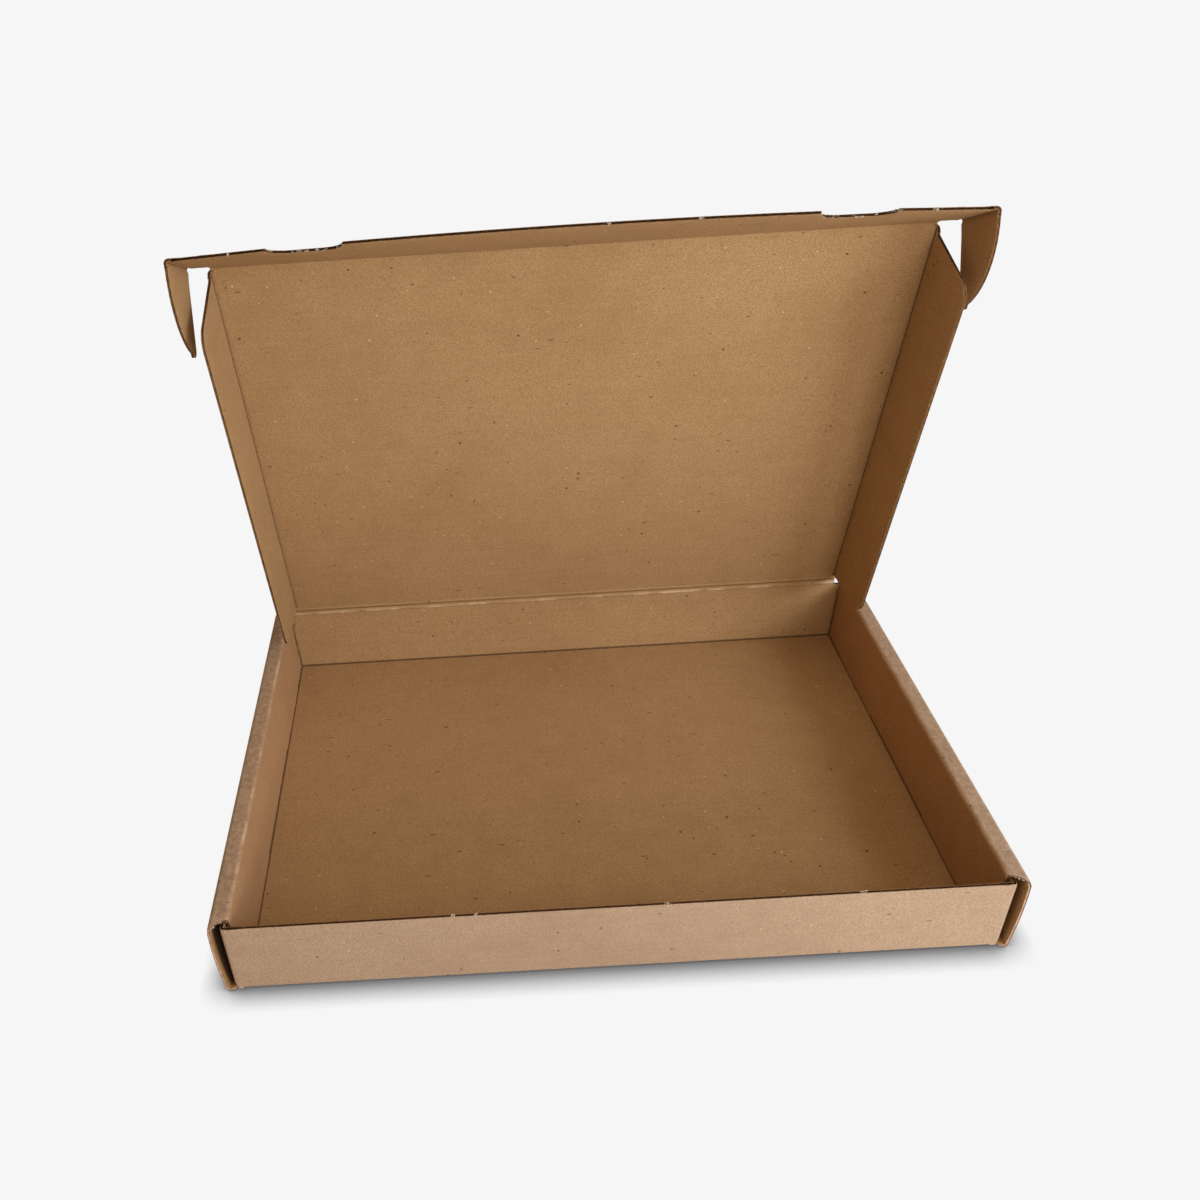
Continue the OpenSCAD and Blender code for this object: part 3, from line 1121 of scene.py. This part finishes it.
def ear_shape():
    """A quarter of a round disc with a blunt tip."""
    tip = [
        (EAR_TIP - EAR_TIP_R + EAR_TIP_R * sin(t), EAR_STEP + EAR_TIP_R - EAR_TIP_R * cos(t))
        for t in np.linspace(0, radians(120), 8)
    ]
    first = np.arcsin(EAR_ARC / EAR_R)
    edge = [(EAR_R * sin(t), EAR_R * cos(t) - EAR_STEP) for t in np.linspace(first, 0.06, 14)]
    return [(EAR_SEAM, EAR_STEP)] + tip + edge + [(EAR_SEAM, FLAP_END)]


ear_outline = ear_shape()
ear_place, ears = {}, {}
for hand, side, _ in SIDES:
    anchor = CREASE + side * EAR_X * EX + HALF * FLAP_IN
    ear_place[hand] = on_swung(anchor, FLAP_ALONG, side * EX, FLAP_IN, radians(90))
    grid = (np.linspace(6, 30, 5), np.linspace(6, 30, 5))
    ears[hand] = board(
        "ear_" + hand + "_board", ear_outline, ear_place[hand], grid,
        lambda a, b: np.isclose(a, EAR_SEAM), groove=pressed_groove,
    )
print("lid, side flaps, front flap and ears")

# %% [markdown]
# At a crease the board is crushed along a line and the liners run on over it. A strip of
# board crosses each crease that swings.

# %% Creases that swing
COLUMNS = 19
ROWS = 40


def crease(name, anchor, along, outward, inward, fold, reach, span, lift, press, dark, pale):
    """A strip over a hinge line. lift is the height of the hinge line above the middle of the board."""
    bead, groove = press
    across = np.linspace(-reach, reach, COLUMNS)
    share = (across / reach + 1) / 2
    angle = fold * share * share * (3 - 2 * share)
    rise = bead * near(np.abs(across), 0.62 * reach, 0.25 * reach) - groove * near(across, 0, 0.3)
    low, high = [end(across) for end in span]
    rows = np.linspace(0, 1, ROWS)
    rows[[1, -2]] = np.array([0, 1]) + np.array([1, -1]) * CRUSH_WIDE / np.mean(high - low)
    ends = np.isclose(rows * (1 - rows), 0)

    def layer(h):
        """The strip's points at one height in the board, thinner at its cut ends."""
        w = h - np.sign(h) * CRUSH * ends[:, None] + max(np.sign(h), 0) * rise - lift
        out_part = across * np.cos(angle) - w * np.sin(angle)
        in_part = across * np.sin(angle) + w * np.cos(angle) + lift
        b = low * (1 - rows[:, None]) + high * rows[:, None]
        return laid(anchor, (b, along), (out_part, outward), (in_part, inward))

    n, m = len(across), len(rows)
    rim = [(0, k) for k in range(n)] + [(r, n - 1) for r in range(1, m)]
    rim += [(m - 1, k) for k in range(n - 2, -1, -1)] + [(r, 0) for r in range(m - 2, 0, -1)]
    rim_rows, rim_columns = np.array(rim).T
    upper, lower = layer(HALF), layer(-HALF)
    edges = [layer(h)[rim_rows, rim_columns] for h in (HALF - LINER, LINER - HALF)]
    cloud = np.concatenate([upper.reshape(-1, 3), lower.reshape(-1, 3)] + edges)
    cell = np.arange(n * m).reshape(m, n)
    faces, slots = [], []
    for r in range(m - 1):
        for k in range(n - 1):
            corners = [cell[r, k], cell[r, k + 1], cell[r + 1, k + 1], cell[r + 1, k]]
            faces.append(corners)
            faces.append([n * m + c for c in reversed(corners)])
            slots += [INNER, OUTER]
    top = cell[rim_rows, rim_columns]
    first = 2 * n * m + np.arange(len(rim))
    rings = [top, first, first + len(rim), top + n * m]
    more, papers = bands(rings, [[paper] * len(rim) for paper in (CUT, FLUTES, CUT)])
    # Painted shade: a dark line along the hinge groove.
    rules = {
        "painted_shade": dark * near(across, 0.1, 0.32),
        "worn": pale * near(across, -0.6 * reach, 0.22 * reach),
    }
    rest = np.zeros(n * m + 2 * len(rim))
    marks = {title: np.concatenate([np.tile(values, m), rest]) for title, values in rules.items()}
    strip = mesh_object(name, cloud, whole_numbers(faces + more), slots + papers, PAPERS, marks)
    level = anchor + along * np.mean(low + high) / 2
    outer, inner = [
        [p - ((p - level) @ along) * along for p in (upper[m // 2, k], lower[m // 2, k])]
        for k in (0, -1)
    ]
    way = inner[0] - outer[0]
    start = max(outer, key=lambda p: p @ way)
    end = min(inner, key=lambda p: p @ way)
    tuple(start * MM)
    tuple(end * MM)
    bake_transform(strip)
    return strip


def straight(value):
    return lambda c: np.full(len(c), float(value))


creases = [
    crease(
        "rear_crease", HINGE, EX, np.array([0, 0, 1.0]), np.array([0, -1.0, 0]),
        radians(90) - LID_OPEN, REAR_HALF, (straight(REAR_LEFT), straight(REAR_RIGHT)),
        0.0, (0.55, 0.45), 0.7, 0.9,
    ),
    crease(
        "front_crease", CREASE, EX, LID_ALONG, LID_IN,
        FRONT_FOLD, FRONT_SEAM, (straight(-LID_HALF), straight(LID_HALF)),
        0.0, (0.1, 0.15), 0.5, 0.0,
    ),
]
for hand, side, fold in SIDES:
    creases.append(crease(
        "side_crease_" + hand, HINGE + side * LID_HALF * EX, LID_ALONG,
        side * EX, LID_IN, fold, SIDE_SEAM,
        (
            lambda c: np.interp(c, [0, SIDE_SEAM], [FLAP_FIRST, FLAP_FIRST + 0.2]),
            lambda c: np.interp(c, [-0.6, SIDE_SEAM], [FLAP_LAST, SIDE_FRONT]),
        ),
        HALF, (0.0, 0.0), 0.95, 0.0,
    ))
    creases.append(crease(
        "ear_crease_" + hand, CREASE + side * EAR_X * EX, FLAP_ALONG,
        side * EX, FLAP_IN, radians(90), EAR_SEAM, (straight(EAR_STEP), straight(FLAP_END)),
        HALF, (0.0, 0.0), 0.7, 0.0,
    ))
print("creases:", [c.name for c in creases])

# %% [markdown]
# The fluting is one wavy sheet between the liners. Only its cut edges show, so only a narrow
# ribbon of it is made, along each cut line. Python lays out the line and marks on each point
# how far across the flutes it is and which way is into the board. The Geometry Nodes tree
# lifts the line into a wave, pulls it into the board as a ribbon and gives it the
# thickness of paper. A long edge across the flutes then shows the row of waves, and an edge
# along them shows a single line, with no case made for either.

# %% Fluting tree


def new_tree(name, inputs):
    """A tree with these inputs, and the wires that bring them in."""
    tree = bpy.data.node_groups.new(name, "GeometryNodeTree")
    face = tree.interface
    face.new_socket("Geometry", in_out="INPUT", socket_type="NodeSocketGeometry")
    for title, kind, value in inputs:
        socket = face.new_socket(title, in_out="INPUT", socket_type="NodeSocket" + kind)
        socket.default_value = value
    face.new_socket("Geometry", in_out="OUTPUT", socket_type="NodeSocketGeometry")
    entry = tree.nodes.new("NodeGroupInput")
    return tree, {s.name: Wire(s) for s in entry.outputs if s.name}


def end_tree(tree, shape, paper):
    real = Wire.node(tree, "GeometryNodeRealizeInstances", None, {"Geometry": shape})
    done = Wire.node(tree, "GeometryNodeSetMaterial", None, {"Geometry": real, "Material": paper})
    leave = tree.nodes.new("NodeGroupOutput")
    tree.links.new(done.socket, leave.inputs["Geometry"])
    return tree


def from_points(tree, name, kind):
    """What Python has written on the points under this name."""
    return Wire.node(tree, "GeometryNodeInputNamedAttribute", {"data_type": kind}, {"Name": name})


def fluting_tree():
    tree, given = new_tree("fluting", [
        ("Pitch", "Float", FLUTE_PITCH * MM), ("Wave Height", "Float", 0.00027),
        ("Depth", "Float", 0.0014), ("Paper", "Float", 0.00018), ("Material", "Material", flute_paper),
    ])
    pitch, wave, depth, paper = [given[n] for n in ("Pitch", "Wave Height", "Depth", "Paper")]

    def scaled(vector, factor):
        sockets = {0: vector, "Scale": factor}
        return Wire.node(tree, "ShaderNodeVectorMath", {"operation": "SCALE"}, sockets)

    normal = from_points(tree, "board_normal", "FLOAT_VECTOR")
    inward = from_points(tree, "inward", "FLOAT_VECTOR")
    across = from_points(tree, "across", "FLOAT")
    across_in = from_points(tree, "across_in", "FLOAT")
    outer = (across / pitch * (2 * pi)).sine() * wave
    inner = ((across + across_in * depth) / pitch * (2 * pi)).sine() * wave
    line = Wire.node(
        tree, "GeometryNodeSetPosition", None,
        {"Geometry": given["Geometry"], "Offset": scaled(normal, outer - paper * 0.5)},
    )
    pull = Wire.node(
        tree, "GeometryNodeExtrudeMesh", {"mode": "EDGES"},
        {"Mesh": line, "Offset": inward, "Offset Scale": depth},
    )
    pulled_edge = Wire(pull.socket.node.outputs["Top"])
    ribbon = Wire.node(
        tree, "GeometryNodeSetPosition", None,
        {"Geometry": pull, "Selection": pulled_edge, "Offset": scaled(normal, inner - outer)},
    )
    thick = Wire.node(
        tree, "GeometryNodeExtrudeMesh", {"mode": "FACES"},
        {"Mesh": ribbon, "Offset": normal, "Offset Scale": paper, "Individual": False},
    )
    back = Wire.node(tree, "GeometryNodeFlipFaces", None, {"Mesh": ribbon})
    join = tree.nodes.new("GeometryNodeJoinGeometry")
    tree.links.new(back.socket, join.inputs[0])
    tree.links.new(thick.socket, join.inputs[0])
    whole = Wire.node(
        tree, "GeometryNodeMergeByDistance", None, {"Geometry": Wire(join.outputs[0]), "Distance": 1e-6}
    )
    return end_tree(tree, whole, given["Material"])


fluting = fluting_tree()
print("fluting tree:", len(fluting.nodes), "nodes")

# %% [markdown]
# Each body's cut lines go into one mesh of loose edges, which the tree turns into ribbons.

# %% Fluted edges
EDGE_STEP = 0.36
SET_BACK = 0.05
PROBE = 0.1


def grown(name, body, mesh, tree, values):
    """An object with the mesh that the tree makes of this one, with the modifier gone."""
    made = add(name, mesh)
    modifier = made.modifiers.new(tree.name, "NODES")
    modifier.node_group = tree
    names = {s.name: s.identifier for s in tree.interface.items_tree if s.in_out == "INPUT"}
    for title, value in values.items():
        modifier[names[title]] = value
    ready = made.evaluated_get(bpy.context.evaluated_depsgraph_get())
    made.data = bpy.data.meshes.new_from_object(ready)
    made.modifiers.clear()
    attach(made, body)
    return made


def cut_line(points):
    """A polyline in the flat board with points every third of a millimetre or so."""
    out = []
    for p, q in zip(points, points[1:]):
        p, q = np.array(p, float), np.array(q, float)
        parts = max(1, int(np.ceil(np.hypot(*(q - p)) / EDGE_STEP)))
        out += [p + (q - p) * k / parts for k in range(parts)]
    return np.array(out + [np.array(points[-1], float)])


def into_board(line, hand):
    """Directions into the board, on the left of the line where hand is 1."""
    step = np.gradient(line, axis=0)
    step /= np.maximum(np.linalg.norm(step, axis=1), 1e-9)[:, None]
    return hand * np.stack([-step[:, 1], step[:, 0]], 1)


def fluted(name, body, lines):
    """Ribbons of fluting along cut lines: (points, place, hand) for each."""
    spots, edges = [], []
    marks = {"across": [], "across_in": [], "board_normal": [], "inward": []}
    for points, place, hand in lines:
        line = cut_line(points)
        inward = into_board(line, hand)
        line = line + SET_BACK * inward
        zero = np.zeros(len(line))
        middle = place(*line.T, zero)
        upper = place(*line.T, zero + PROBE)
        deeper = place(*(line + PROBE * inward).T, zero)
        base = sum(len(s) for s in spots)
        edges += [(base + i, base + i + 1) for i in range(len(line) - 1)]
        spots.append(middle)
        marks["across"].append(line[:, 0] * MM)
        marks["across_in"].append(inward[:, 0])
        marks["board_normal"].append((upper - middle) / PROBE)
        marks["inward"].append((deeper - middle) / PROBE)
    mesh = bpy.data.meshes.new(name)
    mesh.from_pydata([tuple(p) for p in np.concatenate(spots) * MM], edges, [])
    for title, values in marks.items():
        values = np.concatenate(values).astype(np.float32)
        kind, field = ("FLOAT", "value") if values.ndim == 1 else ("FLOAT_VECTOR", "vector")
        mesh.attributes.new(title, kind, "POINT").data.foreach_set(field, values.ravel())
    made = grown(name, body, mesh, fluting, {"Pitch": FLUTE_PITCH * MM, "Material": flute_paper})
    for title in marks:
        if title in made.data.attributes:
            made.data.attributes.remove(made.data.attributes[title])
    print(name, len(made.data.polygons), "faces")


fluted("tray_fluting", "tray", [
    (WALL_FRONT[1:], on_walls, 1), (WALL_REAR[:-1], on_walls, 1),
    (mirrored(WALL_FRONT[1:]), on_walls, -1), (mirrored(WALL_REAR[:-1]), on_walls, -1),
    ([(SEAM_X, front_end), (-SEAM_X, front_end)], on_path_across(FRONT_PATH), 1),
])
free_edge = front_flap_outline()[3:-3]
fluted("front_flap_fluting", "front_flap", [(free_edge, on_front_flap, 1)])
for hand, side, _ in SIDES:
    fluted("side_flap_" + hand + "_fluting", "side_flap_" + hand, [(flap_outline, side_place[hand], 1)])
    fluted("ear_" + hand + "_fluting", "ear_" + hand, [(ear_outline, ear_place[hand], 1)])

# %% [markdown]
# The die leaves small uncut bridges, nicks, that hold the blank in its sheet until a worker
# tears it out. Each leaves a tuft of pale torn fibre on the edge, and the tight curves of the
# finger notches are frayed all along. One tree makes a tuft: it copies each point many times,
# scatters the copies, and puts a thin blade of fibre on each, turned at random by a fixed seed.

# %% Torn nicks
LONG_FIBRE = 0.0009
SHORT_FIBRE = 0.0006
FRONT_NICKS = [(-66.5, 1.2), (-57.0, 0.5), (20.5, 1.5), (99.0, 1.3)]
CORNER_NICK = ((-158.5, -108.0, 0.9), (1.0, 0.3, 0.5))
STRIP_NICKS = [
    (-1, 0.2, -107.8), (-1, 1.4, -106.7), (1, 1.6, -106.5), (1, 2.8, -105.4), (1, 4.0, -104.9),
]
FLAP_NICKS = [(-137.0, 35.6, 0.7), (10.5, 37.0, 0.8), (46.0, 37.0, 1.0), (137.0, 35.6, 1.6)]
FRAYS = 26


def tuft_tree():
    tree, given = new_tree("torn_tufts", [
        ("Fibres", "Int", 26), ("Fibre Length", "Float", LONG_FIBRE), ("Fibre Width", "Float", 0.00013),
        ("Seed", "Int", 7), ("Material", "Material", torn_paper),
    ])

    def chance(kind, low, high, out):
        return Wire.node(
            tree, "FunctionNodeRandomValue", {"data_type": kind},
            {low[0]: low[1], high[0]: high[1], "Seed": given["Seed"]}, out=out,
        )

    copies = Wire.node(
        tree, "GeometryNodeDuplicateElements", {"domain": "POINT"},
        {"Geometry": given["Geometry"], "Amount": given["Fibres"]},
    )
    spread = from_points(tree, "spread", "FLOAT_VECTOR")
    jump = chance("FLOAT_VECTOR", (0, (-1, -1, -1)), (1, (1, 1, 1)), 0)
    offset = Wire.node(tree, "ShaderNodeVectorMath", {"operation": "MULTIPLY"}, {0: jump, 1: spread})
    placed = Wire.node(tree, "GeometryNodeSetPosition", None, {"Geometry": copies, "Offset": offset})
    blade = Wire.node(
        tree, "GeometryNodeMeshCone", {"fill_type": "NGON"},
        {
            "Vertices": 4, "Radius Top": 0.00002, "Radius Bottom": given["Fibre Width"],
            "Depth": given["Fibre Length"],
        },
    )
    swing = chance("FLOAT_VECTOR", (0, (0, 0, 0)), (1, (6.28, 6.28, 6.28)), 0)
    size = chance("FLOAT", (2, 0.45), (3, 1.25), 1)
    blades = Wire.node(
        tree, "GeometryNodeInstanceOnPoints", None,
        {"Points": placed, "Instance": blade, "Rotation": swing, "Scale": size},
    )
    return end_tree(tree, blades, given["Material"])


torn = tuft_tree()


def nicks(name, body, spots, fibres, length):
    """Tufts at spots: (place of the middle, how far it spreads each way), in millimetres."""
    mesh = bpy.data.meshes.new(name)
    mesh.from_pydata([tuple(np.asarray(p) * MM) for p, _ in spots], [], [])
    spread = mesh.attributes.new("spread", "FLOAT_VECTOR", "POINT")
    spread.data.foreach_set("vector", np.array([v for _, v in spots], np.float32).ravel() * MM)
    grown(name, body, mesh, torn, {"Fibres": fibres, "Fibre Length": length, "Material": torn_paper})
    print(name, len(spots), "tufts")


on_front = on_path_across(FRONT_PATH)
front_spots = [(on_front(x, front_end, 0.0), (wide, 0.5, 0.35)) for x, wide in FRONT_NICKS]
nicks("front_wall_nicks", "tray", front_spots + [CORNER_NICK], 26, LONG_FIBRE)
strip_spots = [(on_walls(side * (fold_2 + a), b, 0.2), (0.5, 0.3, 0.3)) for side, a, b in STRIP_NICKS]
nicks("strip_end_nicks", "tray", strip_spots, 8, SHORT_FIBRE)
flap_spots = [(on_front_flap(x, edge, 0.0), (wide, 0.4, 0.4)) for x, edge, wide in FLAP_NICKS]
nicks("front_flap_nicks", "front_flap", flap_spots, 20, LONG_FIBRE)
fray = np.random.default_rng(11)
fray_spots = []
for side in (-1, 1):
    curve = cut_line(notch(side))
    for k in fray.choice(len(curve), FRAYS, replace=False):
        spot = on_front_flap(*curve[k], fray.uniform(-0.5, 0.6))
        fray_spots.append((spot, (0.7, 0.15, 0.15)))
nicks("notch_fraying", "front_flap", fray_spots, 5, SHORT_FIBRE)

# %% [markdown]
# Each board now takes the place of its solid and moves with its body.

# %% Bodies
tray_pieces = [tray, front_wall, rear_wall] + corner_flaps
for piece in tray_pieces:
    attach(piece, "tray")
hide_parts("tray")
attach(lid, "lid")
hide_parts("lid_panel")
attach(front_flap, "front_flap")
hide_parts("front_flap")
for hand, side, _ in SIDES:
    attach(side_flaps[hand], "side_flap_" + hand)
    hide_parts("lid_flap_" + hand)
    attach(ears[hand], "ear_" + hand)
    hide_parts("front_ear_" + hand)
for piece in tray_pieces + [lid, front_flap] + list(side_flaps.values()) + list(ears.values()):
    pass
